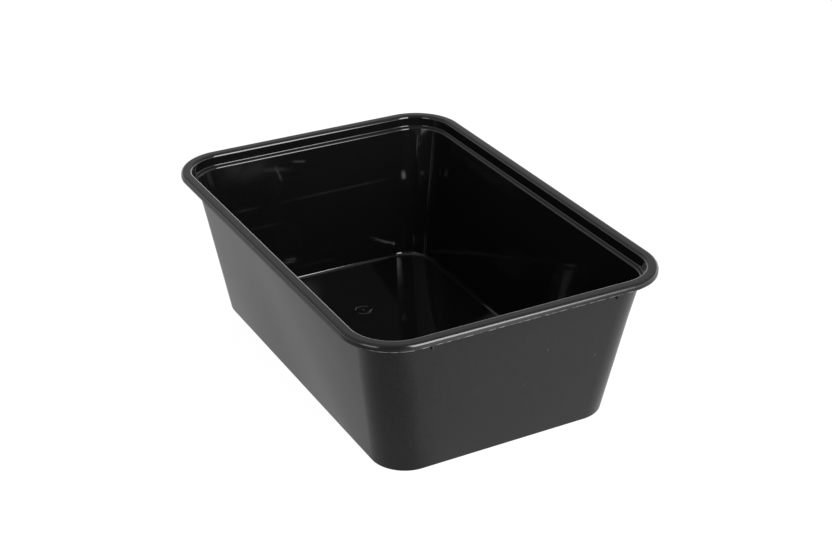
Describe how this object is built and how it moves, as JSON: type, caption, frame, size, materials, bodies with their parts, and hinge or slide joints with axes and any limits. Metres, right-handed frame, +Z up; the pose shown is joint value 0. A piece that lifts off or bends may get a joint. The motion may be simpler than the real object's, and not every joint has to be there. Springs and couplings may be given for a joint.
{
  "type": "takeaway meal container",
  "caption": "Open rectangular plastic meal tub with sloping walls, rounded corners, a crowned turned-down rim and an inner ledge that seats a lid.",
  "frame": {"origin": "centre of the flat underside", "axes": "+X along the length, +Y across the width, +Z up out of the opening"},
  "size_m": [0.175, 0.121, 0.059],
  "materials": {
    "black_plastic": "polished inside and on the rim, fine satin on the outer walls"
  },
  "bodies": {
    "root": {"tub": "black_plastic"}
  },
  "joints": []
}
